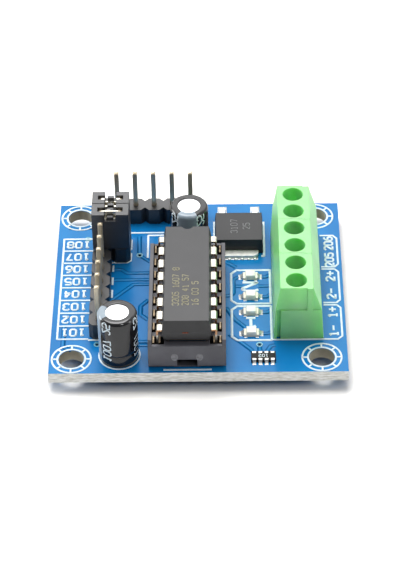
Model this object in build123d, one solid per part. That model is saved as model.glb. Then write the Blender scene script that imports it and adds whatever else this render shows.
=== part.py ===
from build123d import *
import os

# Motor driver circuit module, in millimetres.
# The origin is the centre of the four mounting holes on the underside of the board.
# +X runs towards the screw terminals, +Y towards the supply header, +Z out of the component side.

# Board
board_length = 39.0
board_width = 34.2
board_thickness = 1.6
board_shift_x = 0.24
board_shift_y = 0.10
mount_spacing_x = 32.7
mount_spacing_y = 28.6
mount_hole_diameter = 3.3
via_diameter = 0.5
via_places = [(-7.9, 6.3), (-13.1, -11.55), (8.25, -11.8), (-15.1, 9.8)]

# Soldered tails: all are cut to one length, which is what the module rests on
tail_length = 1.4
solder_height = 1.0
solder_foot = 0.1
solder_tip_radius = 0.5
solder_pad_margin = 0.35
small_hole_sides = 6

# Pin headers
pitch = 2.54
header_height = 2.5
header_notch = 0.55
pin_side = 0.64
pin_rise = 8.2
pin_point = 0.18
pin_hole_diameter = 1.06
input_header_x = -12.9
input_header_first_y = -9.23
input_pin_count = 8
enable_pin_count = 2
supply_header_first_x = -11.06
supply_header_y = 14.31
supply_pin_count = 5

# Jumper caps on the last two rows of the input header
cap_length = 5.0
cap_width = 2.42
cap_height = 5.95
cap_seat_gap = 0.05
cap_tower_height = 1.1
cap_notch_width = 1.55
cap_tongue_width = 0.85
cap_tongue_inset = 0.2
cap_slot_length = 3.4
cap_slot_width = 0.84
clip_length = 3.9
clip_thickness = 0.2
clip_pin_clearance = 0.04
clip_height = 4.2
clip_web_thickness = 0.25
clip_web_height = 2.6

# Chip and its socket
chip_x = -1.19
chip_y = -6.0
chip_pin_count = 16
row_spacing = 7.62
chip_length = 19.3
chip_end_margin = 0.76
chip_width = 6.4
chip_parting_z = 7.4
chip_upper_thickness = 1.8
chip_lower_thickness = 1.6
chip_draft = 9.5
chip_notch_radius = 0.8
lead_thickness = 0.25
lead_outer_width = 7.86
lead_shoulder_width = 1.5
lead_end_shoulder_trim = 0.4
lead_shoulder_drop = 1.75
lead_tip_width = 0.46
lead_tip_length = 2.4
lead_bend_cut = 0.18

socket_end_margin = 0.51
socket_width = 10.1
socket_standoff = 0.37
socket_wall_top = 4.48
socket_end_top = 3.9
socket_wall = 0.5
socket_rail_width = 2.6
socket_end_wall = 1.0
socket_rib_top = 3.7
socket_pocket_width = 1.7
socket_floor = 0.35
socket_notch_width = 2.64
socket_notch_height = 1.15
socket_bridge_width = 1.4
socket_bridge_height = 1.2

contact_thickness = 0.2
contact_width = 1.3
contact_gap_clearance = 0.05
contact_top = 4.0
contact_base_height = 0.4
contact_flare = 0.25
contact_flare_height = 0.9
contact_tail_width = 0.5
contact_tail_thickness = 0.25
contact_hole_diameter = 0.85

# Screw terminals: three interlocked blocks of two poles
terminal_x = 13.07
terminal_first_y = -8.97
pole_pitch = 3.5
poles_per_block = 2
block_count = 3
block_joint_gap = 0.02
housing_height = 8.75
housing_waist = 5.0
housing_back_foot = -2.95
housing_back_waist = -2.7
housing_back_top = -2.1
housing_front_foot = 3.65
housing_front_waist = 3.3
housing_front_top = 2.15
panel_step = 0.15
rib_left = 1.39
rib_width = 0.72
key_left = -2.55
key_width = 0.5
key_depth = 0.35
key_clearance = 0.03
screw_well_diameter = 2.75
entry_width = 2.3
entry_bottom = 0.45
entry_height = 2.2
entry_flare = 0.3
entry_flare_depth = 0.5

clamp_depth = 3.0
clamp_width = 2.7
clamp_height = 3.25
clamp_thickness = 0.4
clamp_rest_rise = 0.15
clamp_travel = 1.2
clamp_clearance = 0.1
bar_underside = 2.25
bar_thickness = 0.5
bar_width = 1.7
bar_slot_clearance = 0.05
pin_blade_width = 0.9
pin_blade_thickness = 0.5
blade_hole_diameter = 1.2
seat_thickness = 0.5
screw_head_diameter = 2.5
screw_head_height = 1.0
screw_seat_gap = 0.05
screw_shank_diameter = 1.9
screw_shank_clearance = 0.05
screw_slot_width = 0.5
screw_slot_depth = 0.5
screw_tip_gap = 0.15

# Capacitors
front_capacitor = (-10.12, -13.55)
rear_capacitor_x = -1.01
rear_capacitor_gap = 1.0
can_sides = 24
can_radius = 2.48
can_height = 7.15
can_standoff = 0.25
can_rim = 0.35
can_groove_rise = 1.5
can_groove_depth = 0.25
can_groove_half = 0.4
sleeve_thickness = 0.12
sleeve_top_opening = 1.75
sleeve_bottom_opening = 2.1
bung_radius = 1.9
bung_height = 1.0
capacitor_lead_pitch = 2.0
capacitor_lead_diameter = 0.5
capacitor_lead_sides = 8
capacitor_hole_diameter = 0.8

# Voltage regulator
regulator_x = 5.76
regulator_front_y = 6.6
regulator_width = 6.6
regulator_depth = 6.0
regulator_lower_height = 1.15
regulator_upper_height = 1.15
regulator_draft = 6.0
tab_width = 5.3
tab_reach = 1.15
tab_seat_depth = 4.2
tab_thickness = 0.5
tab_corner = 0.8
leg_spacing = 4.58
leg_width = 0.8
leg_thickness = 0.5
leg_reach = 1.0
leg_bend_run = 0.45
leg_foot = 1.4
leg_rise = 0.6
stub_length = 1.0

# Chip LEDs
led_x = 7.22
led_rows = [1.6, -2.45, -5.55, -9.68]
led_length = 2.0
led_width = 1.25
led_base_height = 0.35
led_lens_length = 1.35
led_lens_height = 0.45
led_lens_draft = 6.0

# Resistor array
array_x = 8.72
array_y = -14.4
array_length = 3.2
array_width = 1.6
array_height = 0.5
array_pitch = 0.8
array_terminal_count = 4
array_terminal_width = 0.45
array_terminal_depth = 0.3

# Heights and places that follow from the values above
board_top = board_thickness
header_top = board_top + header_height
enable_header_x = input_header_x + pitch
chip_row_count = chip_pin_count // 2
chip_row_pitch = (chip_length - 2 * chip_end_margin) / (chip_row_count - 1)
chip_rows = [chip_y + chip_row_pitch * (row - (chip_row_count - 1) / 2) for row in range(chip_row_count)]
socket_length = chip_length + 2 * socket_end_margin
rear_capacitor = (rear_capacitor_x,
                  chip_y + socket_length / 2 + rear_capacitor_gap + can_radius + sleeve_thickness)
input_rows = [input_header_first_y + pitch * row for row in range(input_pin_count)]
input_places = [(input_header_x, y) for y in input_rows]
enable_places = [(enable_header_x, y) for y in input_rows[-enable_pin_count:]]
supply_places = [(supply_header_first_x + pitch * column, supply_header_y)
                 for column in range(supply_pin_count)]
contact_places = [(chip_x + side * row_spacing / 2, y) for side in (-1, 1) for y in chip_rows]
pole_count = poles_per_block * block_count
pole_rows = [terminal_first_y + pole_pitch * pole for pole in range(pole_count)]
blade_x = terminal_x - clamp_depth / 2 - 2 * clamp_clearance - pin_blade_thickness
blade_places = [(blade_x + pin_blade_thickness / 2, y) for y in pole_rows]
front_lead_places = [(front_capacitor[0] + side * capacitor_lead_pitch / 2, front_capacitor[1])
                     for side in (-1, 1)]
rear_lead_places = [(rear_capacitor[0], rear_capacitor[1] + side * capacitor_lead_pitch / 2)
                    for side in (-1, 1)]


def block(x0, x1, y0, y1, z0, z1):
    """A box between two corners."""
    return Pos((x0 + x1) / 2, (y0 + y1) / 2, (z0 + z1) / 2) * Box(x1 - x0, y1 - y0, z1 - z0)


def along_y(points, y0, y1):
    """An X-Z outline carried from y0 to y1."""
    outline = Plane.XZ.offset(-y0) * make_face(Polyline(*points, close=True))
    return extrude(outline, amount=-(y1 - y0))


def along_x(points, x0, x1):
    """A Y-Z outline carried from x0 to x1."""
    outline = Plane.YZ.offset(x0) * make_face(Polyline(*points, close=True))
    return extrude(outline, amount=x1 - x0)


def drill(places, diameter, z0, z1):
    """Round holes at the given places."""
    return [Pos(x, y, (z0 + z1) / 2) * Cylinder(diameter / 2, z1 - z0) for x, y in places]


def prism(place, radius, z0, z1, sides):
    """A round form with flat sides."""
    return Pos(place[0], place[1], z0) * extrude(RegularPolygon(radius, sides), amount=z1 - z0)


def drill_small(places, diameter, z0, z1):
    """The many small holes, each with a few flat sides."""
    return [prism(place, diameter / 2, z0, z1, small_hole_sides) for place in places]


# Circuit board: a bare panel with its mounting holes, lead holes and vias
def circuit_board():
    panel = block(
        board_shift_x - board_length / 2, board_shift_x + board_length / 2,
        board_shift_y - board_width / 2, board_shift_y + board_width / 2, 0, board_top)
    mounts = [(sx * mount_spacing_x / 2, sy * mount_spacing_y / 2) for sx in (-1, 1) for sy in (-1, 1)]
    holes = drill(mounts, mount_hole_diameter, 0, board_top)
    holes += drill_small(via_places, via_diameter, 0, board_top)
    holes += drill_small(input_places + enable_places + supply_places, pin_hole_diameter, 0, board_top)
    holes += drill_small(contact_places, contact_hole_diameter, 0, board_top)
    holes += drill_small(blade_places, blade_hole_diameter, 0, board_top)
    holes += drill_small(front_lead_places + rear_lead_places, capacitor_hole_diameter, 0, board_top)
    return panel - holes


# Solder joints: a cone with flat sides round each tail, from its pad on the underside
def solder_fillet(place, tail, hole_diameter):
    pad_radius = hole_diameter / 2 + solder_pad_margin
    cone = prism(place, pad_radius, -solder_height, 0, small_hole_sides)
    tip = cone.faces().sort_by(Axis.Z)[0]
    cone = chamfer(tip.edges(), pad_radius - solder_tip_radius, solder_height - solder_foot, reference=tip)
    return cone - tail


def square_tail(place, size_x, size_y):
    x, y = place
    return block(x - size_x / 2, x + size_x / 2, y - size_y / 2, y + size_y / 2, -tail_length, 0)


def solder_joints():
    joints = []
    for place in input_places + enable_places + supply_places:
        joints.append(solder_fillet(place, square_tail(place, pin_side, pin_side), pin_hole_diameter))
    for place in contact_places:
        tail = square_tail(place, contact_tail_thickness, contact_tail_width)
        joints.append(solder_fillet(place, tail, contact_hole_diameter))
    for place in blade_places:
        tail = square_tail(place, pin_blade_thickness, pin_blade_width)
        joints.append(solder_fillet(place, tail, blade_hole_diameter))
    for place in front_lead_places + rear_lead_places:
        tail = prism(place, capacitor_lead_diameter / 2, -tail_length, 0, capacitor_lead_sides)
        joints.append(solder_fillet(place, tail, capacitor_hole_diameter))
    return Compound(children=joints)


# Pin headers: square pins pressed through a strip of eight-sided cells
def header_strip(places):
    cell = chamfer(Rectangle(pitch, pitch).vertices(), header_notch)
    cells = [Pos(x, y, board_top) * extrude(cell, amount=header_height) for x, y in places]
    strip = cells[0] + cells[1:]
    pins = [block(x - pin_side / 2, x + pin_side / 2, y - pin_side / 2, y + pin_side / 2,
                  board_top, header_top) for x, y in places]
    return strip - pins


def header_pins(places):
    top = board_top + pin_rise
    pin = block(-pin_side / 2, pin_side / 2, -pin_side / 2, pin_side / 2, -tail_length, top)
    ends = pin.faces().sort_by(Axis.Z)[-1].edges() + pin.faces().sort_by(Axis.Z)[0].edges()
    pin = chamfer(ends, pin_point)
    return Compound(children=[Pos(x, y, 0) * pin for x, y in places])


# Jumper cap: a box open below, with two towers on top that leave a notch between them
cap_x = (input_header_x + enable_header_x) / 2
cap_bottom = header_top + cap_seat_gap
cap_top = cap_bottom + cap_height
cap_shoulder = cap_top - cap_tower_height
clip_inner = pin_side / 2 + clip_pin_clearance
clip_outer = clip_inner + clip_thickness


def jumper_cap(y):
    body = block(cap_x - cap_length / 2, cap_x + cap_length / 2,
                 y - cap_width / 2, y + cap_width / 2, cap_bottom, cap_top)
    clip_room = block(cap_x - clip_length / 2, cap_x + clip_length / 2, y - clip_outer, y + clip_outer,
                      cap_bottom, cap_shoulder)
    pin_slot = block(cap_x - cap_slot_length / 2, cap_x + cap_slot_length / 2,
                     y - cap_slot_width / 2, y + cap_slot_width / 2, cap_shoulder, cap_top)
    notch = block(cap_x - cap_notch_width / 2, cap_x + cap_notch_width / 2,
                  y - cap_width / 2, y + cap_width / 2, cap_shoulder, cap_top)
    body = body - clip_room - pin_slot - notch
    tongue_top = cap_shoulder + cap_tower_height / 2
    for side in (-1, 1):
        outer = y + side * (cap_width / 2 - cap_tongue_inset)
        inner = y + side * clip_outer
        body += block(cap_x - cap_tongue_width / 2, cap_x + cap_tongue_width / 2,
                      min(outer, inner), max(outer, inner), cap_shoulder, tongue_top)
    return body


# Jumper clip: two springy cheeks that grip both pins, joined by a web between them
def jumper_clip(y):
    top = cap_shoulder
    bottom = top - clip_height
    cheeks = [block(cap_x - clip_length / 2, cap_x + clip_length / 2,
                    y + min(side * clip_inner, side * clip_outer),
                    y + max(side * clip_inner, side * clip_outer), bottom, top) for side in (-1, 1)]
    web = block(cap_x - clip_web_thickness / 2, cap_x + clip_web_thickness / 2,
                y - clip_inner, y + clip_inner, top - clip_web_height, top)
    return web + cheeks


# Socket frame: two rails of pockets, tied by end walls and a bridge under the chip
def chip_socket():
    bottom = board_top + socket_standoff
    wall_top = board_top + socket_wall_top
    end_top = board_top + socket_end_top
    y0 = chip_y - socket_length / 2
    y1 = chip_y + socket_length / 2
    half = socket_width / 2
    slope = wall_top - end_top
    wall_outline = [(y0, bottom), (y1, bottom), (y1, end_top), (y1 - slope, wall_top),
                    (y0 + slope, wall_top), (y0, end_top)]
    inner = half - socket_rail_width
    solids = []
    for side in (-1, 1):
        outer_face = chip_x + side * half
        wall_inner = outer_face - side * socket_wall
        solids.append(along_x(wall_outline, min(outer_face, wall_inner), max(outer_face, wall_inner)))
        rail_inner = chip_x + side * inner
        solids.append(block(min(wall_inner, rail_inner), max(wall_inner, rail_inner), y0, y1,
                            bottom, board_top + socket_rib_top))
    for end in (y0, y1 - socket_end_wall):
        solids.append(block(chip_x - half, chip_x + half, end, end + socket_end_wall, bottom, end_top))
    solids.append(block(chip_x - inner, chip_x + inner, chip_y - socket_bridge_width / 2,
                        chip_y + socket_bridge_width / 2, bottom, bottom + socket_bridge_height))
    frame = solids[0] + solids[1:]
    pocket_floor = bottom + socket_floor
    cuts = []
    for x, y in contact_places:
        side = 1 if x > chip_x else -1
        pocket_outer = chip_x + side * (half - socket_wall)
        pocket_inner = chip_x + side * (inner + socket_wall)
        cuts.append(block(min(pocket_outer, pocket_inner), max(pocket_outer, pocket_inner),
                          y - socket_pocket_width / 2, y + socket_pocket_width / 2, pocket_floor, wall_top))
        cuts.append(block(x - contact_tail_thickness / 2, x + contact_tail_thickness / 2,
                          y - contact_tail_width / 2, y + contact_tail_width / 2, bottom, pocket_floor))
    cuts.append(block(chip_x - socket_notch_width / 2, chip_x + socket_notch_width / 2,
                      y0, y0 + socket_end_wall, bottom, bottom + socket_notch_height))
    return frame - cuts


# Socket contact: two leaves rise from a base, the outer one flared for the lead to enter
def socket_contact(place):
    x, y = place
    side = 1 if x > chip_x else -1
    floor = board_top + socket_standoff + socket_floor
    top = board_top + contact_top
    lead_centre = side * (lead_outer_width - lead_thickness) / 2 + chip_x
    half_gap = lead_thickness / 2 + contact_gap_clearance
    outer = half_gap + contact_thickness
    base_top = floor + contact_base_height
    flare_z = top - contact_flare_height
    section = [
        (-outer, floor), (outer, floor), (outer, flare_z), (outer + contact_flare, top),
        (outer + contact_flare - contact_thickness, top), (half_gap, flare_z), (half_gap, base_top),
        (-half_gap, base_top), (-half_gap, top), (-outer, top)]
    points = [(lead_centre + side * u, z) for u, z in section]
    fork = along_y(points, y - contact_width / 2, y + contact_width / 2)
    tail = block(x - contact_tail_thickness / 2, x + contact_tail_thickness / 2,
                 y - contact_tail_width / 2, y + contact_tail_width / 2, -tail_length, floor)
    return fork + tail


def socket_contacts():
    return Compound(children=[socket_contact(place) for place in contact_places])


# Driver chip: moulded body with draft on every side and a half-round notch at its rear end
def driver_chip():
    plan = Rectangle(chip_width, chip_length)
    upper = extrude(plan, amount=chip_upper_thickness, taper=chip_draft)
    lower = extrude(plan, amount=-chip_lower_thickness, taper=chip_draft)
    body = Pos(chip_x, chip_y, chip_parting_z) * (upper + lower)
    notch = Pos(chip_x, chip_y + chip_length / 2, chip_parting_z + chip_upper_thickness / 2) * Cylinder(
        chip_notch_radius, chip_upper_thickness)
    return body - notch - [chip_lead(place) for place in contact_places]


# Chip lead: a flat shoulder out of the parting line, bent down to a narrow tip in its contact
def chip_lead(place):
    x, y = place
    side = 1 if x > chip_x else -1
    end_row = y in (chip_rows[0], chip_rows[-1])
    outer = lead_outer_width / 2
    top = chip_parting_z + lead_thickness / 2
    shoulder_bottom = top - lead_shoulder_drop
    root = chip_width / 2 - lead_thickness
    strip = [(root, top), (outer, top), (outer, shoulder_bottom), (outer - lead_thickness, shoulder_bottom),
             (outer - lead_thickness, top - lead_thickness), (root, top - lead_thickness)]
    y0 = y - lead_shoulder_width / 2
    y1 = y + lead_shoulder_width / 2
    if end_row and y < chip_y:
        y0 += lead_end_shoulder_trim
    if end_row and y > chip_y:
        y1 -= lead_end_shoulder_trim
    shoulder = along_y([(chip_x + side * u, z) for u, z in strip], y0, y1)
    bend = shoulder.edges().filter_by(Axis.Y).group_by(Axis.Z)[-1].sort_by(Axis.X)[0 if side < 0 else -1]
    shoulder = chamfer(bend, lead_bend_cut)
    tip_outer = chip_x + side * outer
    tip_inner = chip_x + side * (outer - lead_thickness)
    tip = block(min(tip_outer, tip_inner), max(tip_outer, tip_inner), y - lead_tip_width / 2,
                y + lead_tip_width / 2, shoulder_bottom - lead_tip_length, shoulder_bottom)
    return shoulder + tip


def chip_leads():
    return Compound(children=[chip_lead(place) for place in contact_places])


# Terminal housing: one moulded block of two poles, keyed to its neighbours
clamp_floor = board_top + clamp_rest_rise
clamp_room_top = clamp_floor + clamp_height + clamp_travel + clamp_clearance
seat_top = clamp_room_top + seat_thickness
screw_hole_diameter = screw_shank_diameter + 4 * clamp_clearance
bar_bottom = board_top + bar_underside
bar_top = bar_bottom + bar_thickness


def pole_cavities(y):
    well = Pos(terminal_x, y, (seat_top + board_top + housing_height) / 2) * Cylinder(
        screw_well_diameter / 2, board_top + housing_height - seat_top)
    passage = Pos(terminal_x, y, (clamp_room_top + seat_top) / 2) * Cylinder(
        screw_hole_diameter / 2, seat_thickness)
    room_x = clamp_depth / 2 + clamp_clearance
    room_y = clamp_width / 2 + clamp_clearance
    room = block(terminal_x - room_x, terminal_x + room_x, y - room_y, y + room_y,
                 board_top, clamp_room_top)
    bar_slot = block(blade_x, terminal_x - room_x, y - bar_width / 2 - bar_slot_clearance,
                     y + bar_width / 2 + bar_slot_clearance, board_top, bar_top + bar_slot_clearance)
    entry_z = board_top + entry_bottom + entry_height / 2
    entry = block(terminal_x + room_x, terminal_x + housing_front_foot,
                  y - entry_width / 2, y + entry_width / 2,
                  entry_z - entry_height / 2, entry_z + entry_height / 2)
    mouth_plane = Plane(origin=(terminal_x + housing_front_foot, y, entry_z),
                        x_dir=(0, 1, 0), z_dir=(1, 0, 0))
    mouth = loft([
        mouth_plane.offset(-entry_flare_depth) * Rectangle(entry_width, entry_height),
        mouth_plane * Rectangle(entry_width + 2 * entry_flare, entry_height + 2 * entry_flare)])
    return [well, passage, room, bar_slot, entry, mouth]


def terminal_housing(index):
    length = pole_pitch * poles_per_block
    y0 = terminal_first_y - pole_pitch / 2 + length * index
    y1 = y0 + length - block_joint_gap
    waist = board_top + housing_waist
    top = board_top + housing_height
    x = terminal_x
    lower = along_y([(x + housing_back_foot, board_top), (x + housing_front_foot, board_top),
                     (x + housing_front_waist, waist), (x + housing_back_waist, waist)], y0, y1)
    upper = along_y([(x + housing_back_waist, waist), (x + housing_front_waist, waist),
                     (x + housing_front_top, top), (x + housing_back_top, top)],
                    y0 + panel_step, y1 + panel_step)
    rib = block(x + rib_left, x + rib_left + rib_width, y0, y0 + panel_step, waist, top)
    rib_slot = block(x + rib_left - key_clearance, x + rib_left + rib_width + key_clearance,
                     y1, y1 + panel_step, waist, top)
    key = block(x + key_left + key_clearance, x + key_left + key_width - key_clearance,
                y1, y1 + key_depth, board_top, waist)
    keyway = block(x + key_left, x + key_left + key_width,
                   y0, y0 + key_depth + block_joint_gap + key_clearance, board_top, waist)
    body = lower + upper + rib + key - rib_slot - keyway
    first_pole = index * poles_per_block
    for y in pole_rows[first_pole:first_pole + poles_per_block]:
        body = body - pole_cavities(y)
    return body


# Fixed contact: a solder blade that rises behind the clamp and runs through it as a bar
def terminal_contact(y):
    x = blade_x
    blade = block(x, x + pin_blade_thickness, y - pin_blade_width / 2, y + pin_blade_width / 2,
                  -tail_length, board_top)
    post = block(x, x + pin_blade_thickness, y - bar_width / 2, y + bar_width / 2, board_top, bar_top)
    bar = block(x, terminal_x + clamp_depth / 2, y - bar_width / 2, y + bar_width / 2, bar_bottom, bar_top)
    return blade + post + bar


# Clamp: a folded metal cage that the screw lifts, pressing the wire up against the bar
def terminal_clamp(y):
    x0 = terminal_x - clamp_depth / 2
    x1 = terminal_x + clamp_depth / 2
    top = clamp_floor + clamp_height
    cage = block(x0, x1, y - clamp_width / 2, y + clamp_width / 2, clamp_floor, top)
    window = block(x0, x1, y - clamp_width / 2 + clamp_thickness, y + clamp_width / 2 - clamp_thickness,
                   clamp_floor + clamp_thickness, top - clamp_thickness)
    thread = Pos(terminal_x, y, top - clamp_thickness / 2) * Cylinder(
        screw_shank_diameter / 2 + screw_shank_clearance, clamp_thickness)
    return cage - window - thread


# Clamp screw: slotted cheese head on the seat of its well, shank down through the clamp
def terminal_screw(y):
    head_bottom = seat_top + screw_seat_gap
    head_top = head_bottom + screw_head_height
    head = Pos(terminal_x, y, (head_bottom + head_top) / 2) * Cylinder(
        screw_head_diameter / 2, screw_head_height)
    shank_bottom = bar_top + screw_tip_gap
    shank = Pos(terminal_x, y, (shank_bottom + head_bottom) / 2) * Cylinder(
        screw_shank_diameter / 2, head_bottom - shank_bottom)
    slot = block(terminal_x - screw_head_diameter, terminal_x + screw_head_diameter,
                 y - screw_slot_width / 2, y + screw_slot_width / 2, head_top - screw_slot_depth, head_top)
    return head + shank - slot


# Electrolytic capacitor: a drawn can with a rolled groove, closed by a bung, in a shrunk sleeve
can_bottom = board_top + can_standoff
can_top = can_bottom + can_height


def can_form(radius, bottom, top, rim):
    groove_z = can_bottom + can_groove_rise
    foot = prism((0, 0), radius, bottom, groove_z, can_sides)
    foot_top = foot.faces().sort_by(Axis.Z)[-1]
    foot = chamfer(foot_top.edges(), can_groove_depth, can_groove_half, reference=foot_top)
    upper = prism((0, 0), radius, groove_z, top, can_sides)
    upper = chamfer(upper.faces().sort_by(Axis.Z)[-1].edges(), rim)
    upper_foot = upper.faces().sort_by(Axis.Z)[0]
    upper = chamfer(upper_foot.edges(), can_groove_depth, can_groove_half, reference=upper_foot)
    return foot + upper


def capacitor_can():
    recess = prism((0, 0), bung_radius, can_bottom, can_bottom + bung_height, can_sides)
    return can_form(can_radius, can_bottom, can_top, can_rim) - recess


def capacitor_sleeve():
    t = sleeve_thickness
    skin = can_form(can_radius + t, can_bottom - t, can_top + t, can_rim + t)
    core = can_form(can_radius, can_bottom, can_top, can_rim)
    top_opening = prism((0, 0), sleeve_top_opening, can_top, can_top + t, can_sides)
    bottom_opening = prism((0, 0), sleeve_bottom_opening, can_bottom - t, can_bottom, can_sides)
    return skin - core - top_opening - bottom_opening


def capacitor_leads():
    return [prism((side * capacitor_lead_pitch / 2, 0), capacitor_lead_diameter / 2,
                  -tail_length, can_bottom + bung_height, capacitor_lead_sides) for side in (-1, 1)]


def capacitor_bung():
    bung = prism((0, 0), bung_radius, can_bottom, can_bottom + bung_height, can_sides)
    return bung - capacitor_leads()


# Voltage regulator: a moulded body on a metal tab, with two bent legs and a cropped middle one
def regulator_tab():
    front = regulator_front_y - tab_reach
    back = regulator_front_y + tab_seat_depth
    plate = block(regulator_x - tab_width / 2, regulator_x + tab_width / 2, front, back,
                  board_top, board_top + tab_thickness)
    corners = plate.edges().filter_by(Axis.Z).group_by(Axis.Y)[0]
    return fillet(corners, tab_corner)


def regulator_body():
    plan = Rectangle(regulator_width, regulator_depth)
    base = extrude(plan, amount=regulator_lower_height)
    crown = Pos(0, 0, regulator_lower_height) * extrude(
        plan, amount=regulator_upper_height, taper=regulator_draft)
    centre_y = regulator_front_y + regulator_depth / 2
    return Pos(regulator_x, centre_y, board_top) * (base + crown) - regulator_tab()


def regulator_legs():
    back = regulator_front_y + regulator_depth
    z = board_top
    out = back + leg_reach
    foot_start = out + leg_bend_run
    foot_end = foot_start + leg_foot
    profile = [
        (back, z + leg_rise), (out, z + leg_rise), (foot_start, z), (foot_end, z),
        (foot_end, z + leg_thickness), (foot_start, z + leg_thickness),
        (out, z + leg_rise + leg_thickness), (back, z + leg_rise + leg_thickness)]
    legs = []
    for side in (-1, 1):
        x = regulator_x + side * leg_spacing / 2
        legs.append(along_x(profile, x - leg_width / 2, x + leg_width / 2))
    legs.append(block(regulator_x - leg_width / 2, regulator_x + leg_width / 2, back, back + stub_length,
                      z + leg_rise, z + leg_rise + leg_thickness))
    return Compound(children=legs)


# Chip LED: a flat base with end contacts and a tapered lens on it
def led_base(y):
    return block(led_x - led_length / 2, led_x + led_length / 2, y - led_width / 2, y + led_width / 2,
                 board_top, board_top + led_base_height)


def led_lens(y):
    plan = Rectangle(led_lens_length, led_width)
    return Pos(led_x, y, board_top + led_base_height) * extrude(
        plan, amount=led_lens_height, taper=led_lens_draft)


# Resistor array: a flat ceramic body with four end terminals on each long side
def array_terminals():
    half = array_width / 2
    terminals = []
    for side in (-1, 1):
        for column in range(array_terminal_count):
            x = array_x + array_pitch * (column - (array_terminal_count - 1) / 2)
            y0 = array_y + side * half
            y1 = array_y + side * (half - array_terminal_depth)
            terminals.append(block(x - array_terminal_width / 2, x + array_terminal_width / 2,
                                   min(y0, y1), max(y0, y1), board_top, board_top + array_height))
    return terminals


def resistor_array():
    body = block(array_x - array_length / 2, array_x + array_length / 2,
                 array_y - array_width / 2, array_y + array_width / 2, board_top, board_top + array_height)
    return body - array_terminals()


# Every sub-part by its node name
def all_parts():
    parts = {
        "circuit_board": circuit_board(),
        "solder_joints": solder_joints(),
        "chip_socket": chip_socket(),
        "socket_contacts": socket_contacts(),
        "driver_chip": driver_chip(),
        "chip_leads": chip_leads(),
        "input_header": header_strip(input_places),
        "input_header_pins": header_pins(input_places),
        "enable_header": header_strip(enable_places),
        "enable_header_pins": header_pins(enable_places),
        "supply_header": header_strip(supply_places),
        "supply_header_pins": header_pins(supply_places),
        "regulator_body": regulator_body(),
        "regulator_tab": regulator_tab(),
        "regulator_legs": regulator_legs(),
        "resistor_array": resistor_array(),
        "resistor_terminals": Compound(children=array_terminals()),
    }
    for number, (x, y) in enumerate(enable_places, start=1):
        parts[f"jumper_cap_{number}"] = jumper_cap(y)
        parts[f"jumper_clip_{number}"] = jumper_clip(y)
    for index in range(block_count):
        parts[f"terminal_housing_{index + 1}"] = terminal_housing(index)
    for number, y in enumerate(pole_rows, start=1):
        parts[f"terminal_contact_{number}"] = terminal_contact(y)
        parts[f"terminal_clamp_{number}"] = terminal_clamp(y)
        parts[f"terminal_screw_{number}"] = terminal_screw(y)
    for name, place, turn in (("front", front_capacitor, 0), ("rear", rear_capacitor, 90)):
        seat = Pos(place[0], place[1], 0) * Rot(0, 0, turn)
        parts[f"{name}_capacitor_can"] = seat * capacitor_can()
        parts[f"{name}_capacitor_sleeve"] = seat * capacitor_sleeve()
        parts[f"{name}_capacitor_bung"] = seat * capacitor_bung()
        parts[f"{name}_capacitor_leads"] = Compound(children=[seat * lead for lead in capacitor_leads()])
    for number, y in enumerate(led_rows, start=1):
        parts[f"led_base_{number}"] = led_base(y)
        parts[f"led_lens_{number}"] = led_lens(y)
    return parts


os.makedirs("parts", exist_ok=True)
for name, shape in all_parts().items():
    export_step(shape, f"parts/{name}.step")
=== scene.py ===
import bpy
from math import cos, pi, radians, sin
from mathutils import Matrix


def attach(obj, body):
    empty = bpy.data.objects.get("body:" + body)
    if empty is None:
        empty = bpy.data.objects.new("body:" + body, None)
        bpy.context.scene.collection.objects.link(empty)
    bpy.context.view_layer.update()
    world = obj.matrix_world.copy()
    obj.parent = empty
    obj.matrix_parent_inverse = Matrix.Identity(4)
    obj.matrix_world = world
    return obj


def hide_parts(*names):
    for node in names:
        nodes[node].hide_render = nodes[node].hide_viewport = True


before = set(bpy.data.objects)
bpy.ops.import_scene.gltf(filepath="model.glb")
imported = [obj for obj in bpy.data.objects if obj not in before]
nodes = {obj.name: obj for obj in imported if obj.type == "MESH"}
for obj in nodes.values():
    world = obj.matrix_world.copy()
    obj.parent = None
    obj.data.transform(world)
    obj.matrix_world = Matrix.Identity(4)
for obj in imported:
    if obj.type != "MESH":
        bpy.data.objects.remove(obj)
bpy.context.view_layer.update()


# Viewpoint: the module was photographed through a long lens from about 30 cm away, square to its front edge
# and looking down on it at about 42 degrees.
mm = 0.001
lens = bpy.data.cameras.new("camera")
lens.lens = 140.37
lens.clip_start = 0.01
lens.clip_end = 20
camera = bpy.data.objects.new("camera", lens)
camera.location = (3.97 * mm, -224.59 * mm, 201.39 * mm)
camera.rotation_euler = (radians(48.351), radians(0.835), radians(0.166))
bpy.context.scene.collection.objects.link(camera)
bpy.context.scene.camera = camera


# Studio: a white table between pale walls, with a softbox overhead, a wide card at the back that shows only
# as gloss, a softbox at the left, a strip light at the right and a small card in front. The module stands on
# the cut ends of its soldered tails.
table_z = -1.4 * mm


def linear(code):
    """An sRGB hex colour as a linear colour."""
    parts = [int(code[k:k + 2], 16) / 255 for k in (0, 2, 4)]
    return tuple(c / 12.92 if c <= 0.04045 else ((c + 0.055) / 1.055) ** 2.4 for c in parts) + (1.0,)


def add(tree, kind, inputs=None, **settings):
    """Adds a node with its settings; an input takes a value or the output of another node."""
    made = tree.nodes.new(kind)
    for name, value in settings.items():
        setattr(made, name, value)
    for name, value in (inputs or {}).items():
        if isinstance(value, bpy.types.NodeSocket):
            tree.links.new(value, made.inputs[name])
        else:
            made.inputs[name].default_value = value
    return made


def maths(tree, operation, first, second=0.5):
    """The result of a sum on one or two numbers."""
    return add(tree, "ShaderNodeMath", {0: first, 1: second}, operation=operation).outputs[0]


def blend(tree, share, low, high):
    """Two colours mixed by a share from 0 to 1."""
    return add(tree, "ShaderNodeMix", {0: share, 6: low, 7: high}, data_type="RGBA").outputs[2]


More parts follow.
